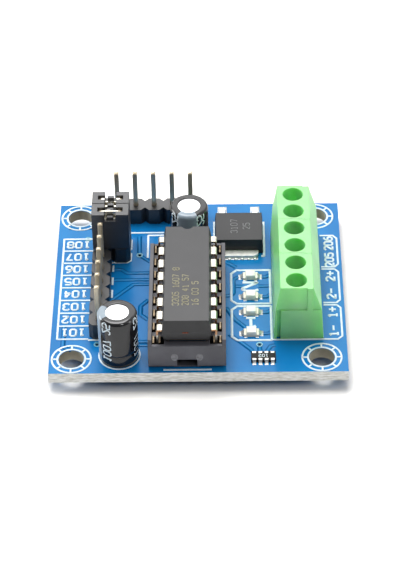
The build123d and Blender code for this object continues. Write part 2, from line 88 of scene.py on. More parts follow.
def sheet_of_paper(name, corners, finish):
    """One flat part of the set, which isn't part of the module."""
    mesh = bpy.data.meshes.new(name)
    mesh.from_pydata(corners, [], [(0, 1, 2, 3)])
    mesh.materials.append(finish)
    made = bpy.data.objects.new(name, mesh)
    bpy.context.scene.collection.objects.link(made)
    return made


# White table paper: matt, exposed a little past white so that it reads as plain white round the shadow, with
# the shade right beside the module deepened.
paper = bpy.data.materials.new("white_table_paper")
paper.use_nodes = True
tree = paper.node_tree
tree.nodes.clear()
ray = add(tree, "ShaderNodeLightPath").outputs
nearness = add(tree, "ShaderNodeAmbientOcclusion", {"Distance": 2.6 * mm}, samples=8)
shade = blend(tree, nearness.outputs["AO"], (0.16, 0.155, 0.14, 1.0), (1.22, 1.20, 1.16, 1.0))
tone = blend(tree, ray["Is Camera Ray"], (0.9, 0.9, 0.9, 1.0), shade)
matt = add(tree, "ShaderNodeBsdfDiffuse", {"Color": tone})
add(tree, "ShaderNodeOutputMaterial", {"Surface": matt.outputs[0]})
sheet_of_paper("table", [(-3, -3, table_z), (3, -3, table_z), (3, 3, table_z), (-3, 3, table_z)], paper)

# Pale walls, dimmer in front of the module than behind it; to the camera they are plain white.
room = bpy.data.worlds.new("room")
bpy.context.scene.world = room
room.use_nodes = True
tree = room.node_tree
tree.nodes.clear()
direction = add(tree, "ShaderNodeTexCoord")
axes = add(tree, "ShaderNodeSeparateXYZ", {0: direction.outputs["Generated"]})
behind = add(tree, "ShaderNodeMapRange", {"Value": axes.outputs["Y"], "From Min": -0.9, "From Max": 0.35,
                                          "To Min": 0.1, "To Max": 1.0}).outputs[0]
ray = add(tree, "ShaderNodeLightPath").outputs
shown = maths(tree, "MAXIMUM", ray["Is Camera Ray"], ray["Is Transmission Ray"])
glossy = maths(tree, "MULTIPLY", ray["Is Glossy Ray"], behind)
mirrored = maths(tree, "MAXIMUM", shown, glossy)
ambient = maths(tree, "MULTIPLY", behind, 0.44)
strength = maths(tree, "MAXIMUM", mirrored, ambient)
backdrop = add(tree, "ShaderNodeBackground", {"Color": linear("ffffff"), "Strength": strength})
add(tree, "ShaderNodeOutputWorld", {"Surface": backdrop.outputs[0]})


def softbox(name, place, width, height, power):
    """A flat lamp turned towards the module."""
    lamp = bpy.data.lights.new(name, "AREA")
    lamp.shape = "RECTANGLE"
    lamp.size = width
    lamp.size_y = height
    lamp.energy = power
    made = bpy.data.objects.new(name, lamp)
    made.location = place
    made.rotation_euler = made.location.to_track_quat("Z", "Y").to_euler()
    bpy.context.scene.collection.objects.link(made)
    return made


softbox("overhead_softbox", (-0.04, 0.135, 0.42), 0.26, 0.26, 1.75)
gloss_card = softbox("rear_gloss_card", (0.0, 0.50, 0.42), 0.80, 0.34, 1.5)
gloss_card.visible_diffuse = False
softbox("left_softbox", (-0.42, 0.16, 0.24), 0.22, 0.22, 1.3)
softbox("right_strip", (0.38, -0.12, 0.20), 0.07, 0.26, 0.32)
softbox("front_card", (0.13, -0.23, 0.32), 0.04, 0.09, 0.21)


# Circuit board: one panel of woven glass and epoxy, etched copper tracks on both sides, coated with a glossy
# blue solder mask and broken out of a larger sheet along its edges, which are left raw.
board_top = 1.6
board_centre = {"X": 0.24, "Y": 0.10}
board_half = {"X": 19.5, "Y": 17.1}


def new_finish(name, **sockets):
    """A material with one principled shader, its settings given by socket name."""
    made = bpy.data.materials.new(name)
    made.use_nodes = True
    tree = made.node_tree
    tree.nodes.clear()
    settings = {socket.replace("_", " "): value for socket, value in sockets.items()}
    shader = add(tree, "ShaderNodeBsdfPrincipled", settings)
    add(tree, "ShaderNodeOutputMaterial", {"Surface": shader.outputs[0]})
    place = add(tree, "ShaderNodeTexCoord")
    return made, tree, shader, place


def drift(tree, place, size, low, high, stretch=(1, 1, 1), detail=3.0, contrast=0.25):
    """A soft wander between two hex colours, in patches of the given size in millimetres."""
    spread = add(tree, "ShaderNodeMapping", {"Vector": place.outputs["Object"], "Scale": stretch})
    patches = add(tree, "ShaderNodeTexNoise", {"Vector": spread.outputs[0], "Scale": 1 / (size * mm),
                                               "Detail": detail})
    share = add(tree, "ShaderNodeMapRange", {"Value": patches.outputs[0], "From Min": 0.5 - contrast,
                                             "From Max": 0.5 + contrast})
    return blend(tree, share.outputs[0], linear(low), linear(high))


def grains(tree, place, size, detail=2.0):
    """Even noise with grains of the given size in millimetres."""
    return add(tree, "ShaderNodeTexNoise", {"Vector": place.outputs["Object"], "Scale": 1 / (size * mm),
                                            "Detail": detail}).outputs[0]


def grain(tree, place, shader, size, height, normal=None):
    """A fine bump on the shader, with grains of the given size and height in millimetres."""
    bump = add(tree, "ShaderNodeBump", {"Height": grains(tree, place, size), "Distance": height * mm})
    if normal is not None:
        tree.links.new(normal, bump.inputs["Normal"])
    tree.links.new(bump.outputs[0], shader.inputs["Normal"])


def two_tone(name, low, high, patch, skin=None, edge=None, samples=6, stretch=(1, 1, 1), contrast=0.25,
             **sockets):
    """A material in two close tones. In millimetres: the patches' size, the skin's grain (size, height) and
    the radius to which the light sees the edges rounded."""
    made, tree, shader, place = new_finish(name, **sockets)
    colour = drift(tree, place, patch, low, high, stretch, contrast=contrast)
    tree.links.new(colour, shader.inputs["Base Color"])
    rounded = None
    if edge:
        rounded = add(tree, "ShaderNodeBevel", {"Radius": edge * mm}, samples=samples).outputs[0]
    if skin:
        grain(tree, place, shader, *skin, rounded)
    return made


def faces_along(tree, place, axis, limit):
    """1 where the surface faces along an axis, to either side, and 0 elsewhere."""
    facing = add(tree, "ShaderNodeSeparateXYZ", {0: place.outputs["Normal"]})
    return maths(tree, "GREATER_THAN", maths(tree, "ABSOLUTE", facing.outputs[axis]), limit)


def dress(finish, *names):
    """Gives CAD nodes their finish."""
    for name in names:
        nodes[name].data.materials.clear()
        nodes[name].data.materials.append(finish)


# Solder mask is a cured film of coloured epoxy, brushed flat and glossy over the faint weave of the glass
# cloth. The broken edge shows the layers of pale glass, and the drilled bores are khaki resin.
board_finish, tree, shader, place = new_finish("solder_mask_on_glass_epoxy", Roughness=0.22, IOR=1.42,
                                              Specular_IOR_Level=0.3)
on_face = faces_along(tree, place, "Z", 0.5)
face_colour = drift(tree, place, 7, "0569ac", "1480c2", contrast=0.3)
edge_colour = drift(tree, place, 0.45, "d4d3c9", "fffffc", (0.4, 0.4, 2.4), detail=6.0, contrast=0.13)

# A side face at the very rim is the broken edge; every other one lies in a bore.
axes = add(tree, "ShaderNodeSeparateXYZ", {0: place.outputs["Object"]})
reach = []
for axis in ("X", "Y"):
    offset = maths(tree, "SUBTRACT", axes.outputs[axis], board_centre[axis] * mm)
    reach.append(maths(tree, "DIVIDE", maths(tree, "ABSOLUTE", offset), board_half[axis] * mm))
outside = maths(tree, "GREATER_THAN", maths(tree, "MAXIMUM", *reach), 0.995)
raw_colour = blend(tree, outside, linear("aaa493"), edge_colour)
tree.links.new(blend(tree, on_face, raw_colour, face_colour), shader.inputs["Base Color"])
rough = add(tree, "ShaderNodeMapRange", {"Value": on_face, "To Min": 0.75, "To Max": 0.2})
tree.links.new(rough.outputs[0], shader.inputs["Roughness"])
weave = grains(tree, place, 0.5)
broken = grains(tree, place, 0.25, 4.0)
relief = add(tree, "ShaderNodeMix", {0: on_face, 2: broken, 3: weave})
depth = add(tree, "ShaderNodeMapRange", {"Value": on_face, "To Min": 0.06 * mm, "To Max": 0.004 * mm})
bump = add(tree, "ShaderNodeBump", {"Height": relief.outputs[0], "Distance": depth.outputs[0]})
tree.links.new(bump.outputs[0], shader.inputs["Normal"])
dress(board_finish, "circuit_board")


# Copper tracks: strips of copper foil under the mask, a little proud of the board, each in a narrow gap
# where the copper pour round it was etched away. They run between the headers, the socket, the lights and
# the terminals.
track_width = 0.36
gap_width = 0.68
foil_height = 0.02
gap_height = 0.008

top_tracks = [
    [(-8.0, 10.3), (-7.93, 6.7)], [(-7.6, 6.0), (-6.4, 4.9)],
    [(-12.9, 3.47), (-10.3, 3.35), (-9.51, 2.62), (-5.0, 2.62)],
    [(-12.9, 0.93), (-10.78, 1.24), (-5.0, 1.24)],
    [(-12.9, -1.61), (-11.9, -3.3), (-8.58, 0.3), (-5.0, 0.3)],
    [(-6.5, -2.85), (-7.53, -4.1), (-7.53, -5.75), (-6.5, -6.85)],
    [(-12.9, -9.23), (-11.2, -11.06), (-5.0, -11.06)],
    [(-9.12, -13.55), (-7.8, -11.75), (-5.0, -11.75)],
    [(2.62, 5.6), (4.22, 4.51), (5.3, 3.6)],
    [(2.62, -4.73), (4.0, -4.73), (5.05, -6.87), (6.4, -8.4)],
    [(4.3, -9.8), (5.75, -11.24), (7.06, -12.66), (7.52, -13.4)],
    [(10.31, -11.95), (9.72, -12.1), (9.26, -13.01), (9.12, -13.4)],
    [(8.27, -12.2), (8.3, -13.4)],
    [(5.26, -0.27), (6.2, -0.27)], [(8.3, -0.27), (9.81, -0.27), (10.6, 0.4)],
    [(2.62, -2.19), (4.4, -2.19), (4.9, -1.7), (4.9, 1.0), (5.5, 1.6), (5.9, 1.6)],
    [(8.6, 1.6), (9.4, 1.6), (10.2, 2.3)], [(8.6, -2.45), (9.4, -2.45), (10.1, -1.8)],
    [(8.6, -5.55), (9.4, -5.55), (10.1, -4.9)], [(8.6, -9.68), (9.5, -9.68), (10.3, -8.9)],
    [(-17.9, 12.2), (-13.6, 12.2), (-12.4, 13.4), (-11.06, 13.4)],
    [(-3.44, 14.31), (-2.2, 13.0), (-2.2, 11.2), (-1.01, 9.9)],
    [(-17.6, -8.0), (-17.6, -12.0), (-16.4, -12.6)],
]
under_tracks = [
    [(-12.9, 8.55), (-9.6, 8.55), (-5.6, 4.6), (-5.0, 2.89)],
    [(-12.9, 6.01), (-11.7, 6.01), (-7.2, 1.5), (-5.0, 0.35)],
    [(-12.9, -4.15), (-9.0, -4.15), (-6.2, -2.19), (-5.0, -2.19)],
    [(-12.9, -6.69), (-7.5, -6.69), (-5.0, -4.73)],
    [(-12.9, -9.23), (-8.0, -9.23), (-6.4, -7.27), (-5.0, -7.27)],
    [(-5.0, -12.35), (-3.4, -12.35), (1.0, -9.81), (2.62, -9.81)],
    [(-5.0, -9.81), (-3.2, -9.81), (0.9, -7.27), (2.62, -7.27)],
    [(2.62, -14.89), (8.4, -14.89), (11.32, -11.9), (11.32, -8.97)],
    [(2.62, -12.35), (7.2, -12.35), (11.32, -8.2), (11.32, -5.47)],
    [(2.62, -4.73), (8.0, -4.73), (10.4, -1.97), (11.32, -1.97)],
    [(2.62, -2.19), (6.6, -2.19), (9.9, 1.53), (11.32, 1.53)],
    [(2.62, 0.35), (6.0, 0.35), (9.6, 5.03), (11.32, 5.03)],
    [(2.62, 2.89), (5.4, 2.89), (9.4, 8.53), (11.32, 8.53)],
    [(-1.01, 8.76), (2.0, 11.6), (7.4, 11.6), (11.32, 8.9)],
    [(-1.01, 6.76), (-3.0, 4.8), (-3.0, -4.6), (-5.0, -4.73)],
    [(-11.06, 14.31), (-10.36, 12.6), (-10.36, 8.55)],
    [(-8.52, 14.31), (-8.52, 11.4), (-6.6, 9.4), (-6.6, 4.4), (-5.0, 2.89)],
    [(-5.98, 14.31), (-5.98, 12.0), (-3.7, 9.7), (-3.7, 6.0), (2.62, 0.35)],
    [(-3.44, 14.31), (4.0, 14.31), (8.0, 10.0)],
    [(-9.12, -13.55), (-6.4, -14.89), (-5.0, -14.89)],
    [(-11.12, -13.55), (-12.8, -11.9)], [(-13.05, -11.1), (-12.9, -9.23)],
    [(7.95, -11.5), (6.4, -9.9), (2.62, -9.81)],
]


def geometry_tree(name, *lengths):
    """An empty Geometry Nodes tree that takes a shape, the named lengths and a material."""
    made = bpy.data.node_groups.new(name, "GeometryNodeTree")
    kinds = [("Geometry", "Geometry")] + [(label, "Float") for label in lengths] + [("Material", "Material")]
    for label, kind in kinds:
        made.interface.new_socket(name=label, in_out="INPUT", socket_type="NodeSocket" + kind)
    made.interface.new_socket(name="Geometry", in_out="OUTPUT", socket_type="NodeSocketGeometry")
    return made, made.nodes.new("NodeGroupInput").outputs, made.nodes.new("NodeGroupOutput")


def close_tree(made, given, output, geometry):
    """Ends a tree: instances made real, material set."""
    real = add(made, "GeometryNodeRealizeInstances", {"Geometry": geometry})
    painted = add(made, "GeometryNodeSetMaterial", {"Geometry": real.outputs[0],
                                                    "Material": given["Material"]})
    made.links.new(painted.outputs[0], output.inputs[0])


def fit_piece(name, shape, body="board"):
    """Puts a finished mesh into the scene as a piece of the module."""
    made = bpy.data.objects.new(name, shape)
    bpy.context.scene.collection.objects.link(made)
    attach(made, body)
    return made


def grow(name, tree, points, edges, values, attributes=None):
    """Runs a tree on points and edges and keeps the result as a plain mesh piece of the board's body."""
    seed = bpy.data.meshes.new(name + "_seed")
    seed.from_pydata(points, edges, [])
    for label, numbers in (attributes or {}).items():
        seed.attributes.new(label, "FLOAT", "POINT").data.foreach_set("value", numbers)
    carrier = bpy.data.objects.new(name + "_seed", seed)
    bpy.context.scene.collection.objects.link(carrier)
    modifier = carrier.modifiers.new("grow", "NODES")
    modifier.node_group = tree
    sockets = {s.name: s.identifier for s in tree.interface.items_tree
               if s.item_type == "SOCKET" and s.in_out == "INPUT"}
    for label, value in values.items():
        modifier[sockets[label]] = value
    bpy.context.view_layer.update()
    shape = bpy.data.meshes.new_from_object(carrier.evaluated_get(bpy.context.evaluated_depsgraph_get()))
    bpy.data.objects.remove(carrier)
    shape.name = name
    return fit_piece(name, shape)


# A flat ribbon of even width along each line, with its corners eased.
ribbon, given, output = geometry_tree("flat_ribbon", "Width", "Height", "Corner")
lines = add(ribbon, "GeometryNodeMeshToCurve", {"Mesh": given["Geometry"]})
upright = add(ribbon, "GeometryNodeSetCurveNormal", {"Curve": lines.outputs[0]}, mode="Z_UP")
eased = add(ribbon, "GeometryNodeFilletCurve", {"Curve": upright.outputs[0], "Radius": given["Corner"],
                                                "Count": 3, "Limit Radius": True}, mode="POLY")
section = add(ribbon, "GeometryNodeCurvePrimitiveQuadrilateral", {"Width": given["Width"],
                                                                  "Height": given["Height"]})
strip = add(ribbon, "GeometryNodeCurveToMesh", {"Curve": eased.outputs[0],
                                                "Profile Curve": section.outputs[0], "Fill Caps": True})
close_tree(ribbon, given, output, strip.outputs[0])


def ribbons(name, paths, level, width, height, corner, finish):
    """Even strokes along plan lines, all in millimetres; a line that ends where it starts is a loop. Lines
    that cross lie a few thousandths apart, so that no two faces share a plane."""
    points, edges = [], []
    for order, path in enumerate(paths):
        loop = path[0] == path[-1]
        own = path[:-1] if loop else path
        first = len(points)
        points += [(x * mm, y * mm, (level + order % 6 * 0.003) * mm) for x, y in own]
        edges += [(first + k, first + k + 1) for k in range(len(own) - 1)]
        if loop:
            edges.append((first + len(own) - 1, first))
    values = {"Width": width * mm, "Height": height * mm, "Corner": corner * mm, "Material": finish}
    return grow(name, ribbon, points, edges, values)


# The mask looks paler over copper and darker where only resin lies under it.
mask_film = {"Roughness": 0.2, "IOR": 1.42, "Specular_IOR_Level": 0.3}
over_copper = two_tone("solder_mask_over_copper", "0c70b2", "2086c6", 5, (0.5, 0.004), **mask_film)
over_resin = two_tone("solder_mask_over_resin", "045892", "0764a2", 5, (0.5, 0.004), **mask_film)
for side, tracks, surface in (("top", top_tracks, board_top), ("under", under_tracks, 0.0)):
    ribbons(side + "_gaps", tracks, surface, gap_width, 2 * gap_height, 0.3, over_resin)
    ribbons(side + "_tracks", tracks, surface, track_width, 2 * foil_height, 0.3, over_copper)


# White printing: epoxy ink pushed through a screen, a few hundredths of a millimetre thick. It rings the
# mounting holes, boxes the labels and marks each header pin and terminal with a plain number.
ink_height = 0.045

# Screen ink is matt and slightly uneven, a cool white where the blue shows through.
ink = two_tone("white_screen_ink", "d8ecf6", "f0faff", 0.6, (0.15, 0.006), contrast=0.2, Roughness=0.55)


def ring(x, y, radius, sides=48):
    """A closed circle in plan."""
    turns = [2 * pi * k / sides for k in range(sides)]
    loop = [(x + radius * cos(a), y + radius * sin(a)) for a in turns]
    return loop + loop[:1]


# Two rings and eight spokes round each mounting hole.
ring_inside, ring_outside = 1.83, 2.56
hole_rings = []
for x, y in ((-16.35, -14.3), (-16.35, 14.3), (16.35, -14.3), (16.35, 14.3)):
    hole_rings.append(ring(x, y, ring_outside))
    hole_rings.append(ring(x, y, ring_inside))
    for k in range(8):
        a = k * pi / 4
        hole_rings.append([(x + r * cos(a), y + r * sin(a)) for r in (ring_inside, ring_outside)])

# A ladder of boxes beside the input pins, open towards them, and frames round the other groups.
pin_pitch = 2.54
half_pitch = pin_pitch / 2
left_rows = [-9.23 + pin_pitch * row for row in range(8)]
front_rung, rear_rung = left_rows[0] - half_pitch, left_rows[7] + half_pitch
rung_start, rung_end = -14.3, -18.42
left_box = [[(rung_start, front_rung), (rung_end, front_rung), (rung_end, rear_rung),
             (rung_start, rear_rung)]]
left_box += [[(rung_end, y + half_pitch), (rung_start, y + half_pitch)] for y in left_rows[:7]]
right_boxes = [
    [(16.95, 10.1), (18.75, 10.1), (19.25, 9.5), (19.25, 4.1), (18.75, 3.52), (16.95, 3.52)],
    [(16.95, 3.08), (18.7, 3.08), (19.2, 2.5), (19.2, -3.2), (18.7, -3.75), (16.95, -3.75)],
    [(16.95, -4.2), (18.7, -4.2), (19.2, -4.75), (19.2, -10.3), (18.6, -10.9), (9.84, -10.9)],
]
light_boxes = [
    [(9.9, 2.99), (5.35, 2.99), (4.62, 2.3), (4.62, -3.15), (5.35, -3.82), (9.9, -3.82), (9.9, 2.99)],
    [(9.9, -4.3), (5.4, -4.3), (4.66, -5.0), (4.66, -10.3), (5.4, -10.98), (9.9, -10.98), (9.9, -4.3)],
]
regulator_marks = [
    [(2.37, 13.3), (2.37, 6.0)], [(9.2, 13.2), (9.2, 5.9), (8.8, 5.9)], [(5.2, 13.9), (6.3, 13.9)],
]
header_marks = [
    [(-9.36, 11.05), (-4.6, 11.05)], [(-4.3, 10.49), (-6.79, 10.49), (-6.79, 5.73)],
    [(-9.08, 9.6), (-9.08, 7.6), (-9.4, 7.28)],
    [(-9.4, 6.9), (-9.08, 6.6), (-9.08, 5.2), (-9.5, 4.81), (-11.66, 4.81)],
    [(-11.45, 4.2), (-11.45, 2.9)], [(-11.45, 1.7), (-11.45, 0.2)], [(-11.45, -0.8), (-11.45, -2.4)],
    [(-11.45, -3.3), (-11.45, -4.9)], [(-11.45, -5.9), (-11.45, -7.5)], [(-11.45, -8.4), (-11.45, -9.9)],
    [(-14.3, -10.7), (-11.6, -10.7)],
]
chip_marks = [[(-4.28, -16.47), (1.99, -16.47)]]
capacitor_marks = [ring(-10.07, -13.6, 2.68, 40), ring(-1.01, 7.76, 2.68, 40)]

# Plain numbers drawn with one even stroke, on a grid 4 wide and 6 high.
figures = {
    "0": [[(0, 1), (0, 5), (1, 6), (3, 6), (4, 5), (4, 1), (3, 0), (1, 0), (0, 1)]],
    "1": [[(0.7, 4.9), (2.1, 6), (2.1, 0)], [(0.8, 0), (3.4, 0)]],
    "2": [[(0, 5), (1, 6), (3, 6), (4, 5), (4, 4), (0, 0), (4, 0)]],
    "3": [[(0, 5), (1, 6), (3, 6), (4, 5), (4, 4), (3, 3.1), (4, 2), (4, 1), (3, 0), (1, 0), (0, 1)]],
    "4": [[(3, 0), (3, 6)], [(2.7, 6), (0, 2), (4, 2)]],
    "5": [[(4, 6), (0, 6), (0, 3.6), (3, 3.6), (4, 2.6), (4, 1), (3, 0), (1, 0), (0, 1)]],
    "6": [[(3.6, 6), (2, 6), (0, 3.4), (0, 1), (1, 0), (3, 0), (4, 1), (4, 2.5), (3, 3.4), (0.2, 3.4)]],
    "7": [[(0, 6), (4, 6), (1.5, 0)]],
    "8": [[(1, 3.1), (0, 4), (0, 5), (1, 6), (3, 6), (4, 5), (4, 4), (3, 3.1), (4, 2.2), (4, 1), (3, 0),
           (1, 0), (0, 1), (0, 2.2), (1, 3.1), (3, 3.1)]],
    "9": [[(0.4, 0), (2, 0), (4, 2.6), (4, 5), (3, 6), (1, 6), (0, 5), (0, 3.5), (1, 2.6), (3.8, 2.6)]],
    "+": [[(-0.1, 3), (4.1, 3)], [(2, 5.5), (2, 0.5)]],
    "-": [[(0, 3), (4, 3)]],
}


def number(text, x, y, height, turn, width=0.62, gap=0.26, centred=True):
    """The strokes of a number at a place; turn is the reading direction in degrees."""
    a = radians(turn)
    advance = (width + gap) * height
    start = -(len(text) * advance - gap * height) / 2 if centred else 0
    paths = []
    for place_in_row, sign in enumerate(text):
        for stroke in figures.get(sign, []):
            path = []
            for u, v in stroke:
                s = start + place_in_row * advance + u / 4 * width * height
                t = (v / 6 - 0.5) * height
                path.append((x + s * cos(a) - t * sin(a), y + s * sin(a) + t * cos(a)))
            paths.append(path)
    return paths


labels = []
for k, y in enumerate(left_rows):
    labels += number(str(101 + k), -16.35, y, 1.28, 180)
for text, y, width in (("206", 8.4, 0.7), ("205", 5.0, 0.7), ("2+", 1.6, 0.85), ("2-", -1.95, 0.85),
                       ("1+", -5.65, 0.85), ("1-", -9.3, 0.85)):
    labels += number(text, 18.08, y, 1.1, 90, width * 0.95, 0.24)
light_labels = number("2", 7.22, -0.42, 1.75, 180, 1.2) + number("1", 7.22, -7.6, 1.9, 180, 1.0)

for name, paths, width in (("hole_rings", hole_rings, 0.24), ("label_boxes", left_box + right_boxes, 0.25),
                           ("light_boxes", light_boxes, 0.32),
                           ("part_outlines", header_marks + chip_marks, 0.27),
                           ("regulator_outline", regulator_marks, 0.34),
                           ("capacitor_rings", capacitor_marks, 0.2),
                           ("label_numbers", labels, 0.27), ("light_numbers", light_labels, 0.42)):
    ribbons("printed_" + name, paths, board_top, width, 2 * ink_height, 0.05, ink)

# Under the board the numbers are mirrored, so that they read from below.
under_paths = []
for text, x, y, height in (("1", 15.0, -9.23, 1.3), ("8", 15.0, 8.55, 1.3), ("1", 13.2, 16.0, 1.1),
                           ("5", 1.2, 15.2, 1.1)):
    under_paths += [[(-u, v) for u, v in path] for path in number(text, x, y, height, 0)]
ribbons("printed_under_numbers", under_paths, 0.0, 0.22, 2 * ink_height, 0.12, ink)


# Pads, vias and solder: tinned copper rings round every lead, small plated holes between the two sides, and
# the wetted cone that hand or wave soldering leaves round each tail on the underside.
chip_x = -1.19
contact_reach = 3.81
input_x, enable_x, supply_y = -12.9, -10.36, 14.31
blade_x, pole_pitch = 11.12, 3.5
header_places = [(input_x, y) for y in left_rows] + [(enable_x, y) for y in left_rows[6:]]
header_places += [(-11.06 + pin_pitch * k, supply_y) for k in range(5)]
contact_places = [(chip_x + side * contact_reach, -14.89 + pin_pitch * row) for side in (-1, 1)
                  for row in range(8)]
blade_places = [(blade_x, -8.97 + pole_pitch * pole) for pole in range(6)]
capacitor_lead_places = [(-11.12, -13.55), (-9.12, -13.55), (-1.01, 6.76), (-1.01, 8.76)]
via_places = [(-7.9, 6.3), (-13.1, -11.55), (8.25, -11.8), (-15.1, 9.8)]
joints = [(x, y, radius) for places, radius in ((header_places, 0.93), (contact_places, 0.8),
                                                (blade_places, 1.0), (capacitor_lead_places, 0.78))
          for x, y in places]

# Tin-rich solder wets to a bright, slightly frosted skin.
solder = two_tone("wetted_tin_solder", "d2d3d1", "f6f6f2", 0.5, (0.18, 0.012), Metallic=0.7, Roughness=0.34)

# A cone hangs from each pad, as wide as the pad at its foot and hollowed towards the tail.
cones, given, output = geometry_tree("solder_cones", "Height")
spine = add(cones, "GeometryNodeCurvePrimitiveLine", {"End": (0, 0, -1)})
steps = add(cones, "GeometryNodeResampleCurve", {"Curve": spine.outputs[0], "Count": 8})
along = add(cones, "GeometryNodeSplineParameter")
hollow = maths(cones, "POWER", maths(cones, "SUBTRACT", 1.0, along.outputs["Factor"]), 2.4)
girth = maths(cones, "ADD", maths(cones, "MULTIPLY", hollow, 0.56), 0.44)
wetted = add(cones, "GeometryNodeSetCurveRadius", {"Curve": steps.outputs[0], "Radius": girth})
disk = add(cones, "GeometryNodeCurvePrimitiveCircle", {"Resolution": 18, "Radius": 1.0})
cone = add(cones, "GeometryNodeCurveToMesh", {"Curve": wetted.outputs[0], "Profile Curve": disk.outputs[0],
                                              "Fill Caps": True})
pad_size = add(cones, "GeometryNodeInputNamedAttribute", {"Name": "pad"}, data_type="FLOAT").outputs[0]
scale = add(cones, "ShaderNodeCombineXYZ", {0: pad_size, 1: pad_size, 2: given["Height"]})
placed = add(cones, "GeometryNodeInstanceOnPoints", {"Points": given["Geometry"], "Instance": cone.outputs[0],
                                                     "Scale": scale.outputs[0]})
smooth = add(cones, "GeometryNodeSetShadeSmooth", {"Geometry": placed.outputs[0]})
close_tree(cones, given, output, smooth.outputs[0])

soldered = grow("wetted_solder_joints", cones, [(x * mm, y * mm, 0.0) for x, y, radius in joints], [],
                {"Height": 0.98 * mm, "Material": solder},
                {"pad": [radius * mm for x, y, radius in joints]})
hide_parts("solder_joints")

# A pad is a tinned ring of foil; its bright rim shows round the solder.
pad_rings = [ring(x, y, radius + 0.08, 24) for x, y, radius in joints]
ribbons("under_pads", pad_rings, 0.0, 0.3, 0.06, 0.0, solder)


def joined(parts):
    """Several (points, faces) pairs as one."""
    points, faces = [], []
    for own_points, own_faces in parts:
        first = len(points)
        points += own_points
        faces += [tuple(first + k for k in face) for face in own_faces]
    return points, faces


def lathe(profile, x, y, sides):
    """Turns a profile of (radius, height) pairs, in millimetres, about an upright axis."""
    points, faces, rows = [], [], []
    turns = [2 * pi * k / sides for k in range(sides)]
    for radius, z in profile:
        if radius == 0:
            rows.append([len(points)] * sides)
            points.append((x * mm, y * mm, z * mm))
        else:
            rows.append(list(range(len(points), len(points) + sides)))
            points += [((x + radius * cos(a)) * mm, (y + radius * sin(a)) * mm, z * mm) for a in turns]
    for low, high in zip(rows, rows[1:]):
        for k in range(sides):
            n = (k + 1) % sides
            faces.append(tuple(dict.fromkeys((low[k], low[n], high[n], high[k]))))
    return points, faces


def solid_piece(name, points, faces, finish, slot, body="board", smooth=False):
    """A mesh piece from points in metres."""
    shape = bpy.data.meshes.new(name)
    shape.from_pydata(points, [], faces)
    shape.update()
    shape.materials.append(finish)
    if smooth:
        shape.shade_smooth()
    return fit_piece(name, shape, body)


# A via is a drilled hole plated with copper, and mask covers its collar. The bore walls are painted near
# black: painted shade inside the narrow hole.
via_plating, tree, shader, place = new_finish("plated_via", Roughness=0.3)
collar = faces_along(tree, place, "Z", 0.5)
teal = drift(tree, place, 0.3, "5fa3b5", "8cc3cc")
# Painted shade: the bore walls take near black, the collar stays teal.
tree.links.new(blend(tree, collar, linear("12100e"), teal), shader.inputs["Base Color"])
via_profile = [(0.46, 1.6), (0.44, 1.64), (0.3, 1.64), (0.21, 1.5), (0.21, 0.1), (0.3, -0.04), (0.44, -0.04),
               (0.46, 0.0)]
vias = joined([lathe(via_profile, x, y, 20) for x, y in via_places])
solid_piece("plated_vias", *vias, via_plating, "board")


# Chip socket: a glass-filled nylon frame moulded in one shot, dark grey and dry to the eye, with sprung
# bronze contacts pushed in from above and two round marks where the mould's pins let go of its end wall.
socket_nylon = two_tone("glass_filled_nylon", "4a4a50", "5a5a61", 2.5, (0.12, 0.01), edge=0.1, Roughness=0.5)
dress(socket_nylon, "chip_socket")

# Phosphor bronze with a thin tin flash, warm where the tin is worn.
contact_bronze = two_tone("tin_flashed_bronze", "3a3026", "8f7f68", 0.8, (0.1, 0.004), Metallic=1.0,
                          Roughness=0.3)
dress(contact_bronze, "socket_contacts")


def disc(x, z, y, half_width, half_height, bulge, sides=20):
    """A shallow oval mark on a front face, centred at x, z on the plane y."""
    turns = [2 * pi * k / sides for k in range(sides)]
    points = [(x * mm, (y - bulge) * mm, z * mm)]
    for size, depth in ((0.8, bulge * 0.8), (1.0, 0.0)):
        points += [((x + size * half_width * cos(a)) * mm, (y - depth) * mm,
                    (z + size * half_height * sin(a)) * mm) for a in turns]
    faces = []
    for k in range(sides):
        n = (k + 1) % sides
        faces += [(0, 1 + k, 1 + n), (1 + k, 1 + sides + k, 1 + sides + n, 1 + n)]
    return points, faces


def rolled_box(x0, x1, y0, y1, low, shoulder, top, roll):
    """A bar in millimetres whose upper edges roll over from the shoulder to the top."""
    corners = []
    for inset, z in ((0.0, low), (0.0, shoulder), (roll, top)):
        left, right, front, back = x0 + inset, x1 - inset, y0 + inset, y1 - inset
        corners += [(x * mm, y * mm, z * mm) for x, y in ((left, front), (right, front), (right, back),
                                                          (left, back))]
    walls = [(row + j, row + (j + 1) % 4, row + 4 + (j + 1) % 4, row + 4 + j) for row in (0, 4)
             for j in range(4)]
    return corners, walls + [(8, 9, 10, 11), (3, 2, 1, 0)]


# Behind the notch in each end wall the frame keeps a thin rail on the board. Its dark grey, laid where the
# board would show, is painted shade for the dark inside of the notch.
notch_shade_rails = joined([rolled_box(chip_x - 1.7, chip_x + 1.7, y - 0.62, y + 0.62, 1.62, 1.751, 1.8, 0.035)
                for y in (-15.3, 3.3)])
solid_piece("socket_notch_shade_rails", *notch_shade_rails, socket_nylon, "socket_plastic")

# The mould's ejector pins leave two smooth marks on the wall, dragged to ovals as the frame lets go.
marks = joined([disc(chip_x + x, 3.55, -16.16, 0.46, 0.62, 0.03) for x in (-1.62, 1.62)])
ejector_mark = two_tone("smooth_pin_mark", "5a5a60", "84848a", 0.35, (0.3, 0.02), edge=0.02, Roughness=0.34)
solid_piece("socket_pin_marks", *marks, ejector_mark, "socket_plastic", smooth=True)


# Driver chip: black epoxy moulded round a stamped copper lead frame. The resin has the dull skin of a matt
# mould; the lead frame is tinned after moulding and then cut, so the cut edges show bare copper.
chip_epoxy = two_tone("matt_moulding_epoxy", "202022", "2a2a2c", 4, (0.09, 0.012), edge=0.1, Roughness=0.5,
                      Specular_IOR_Level=0.6)
dress(chip_epoxy, "driver_chip")

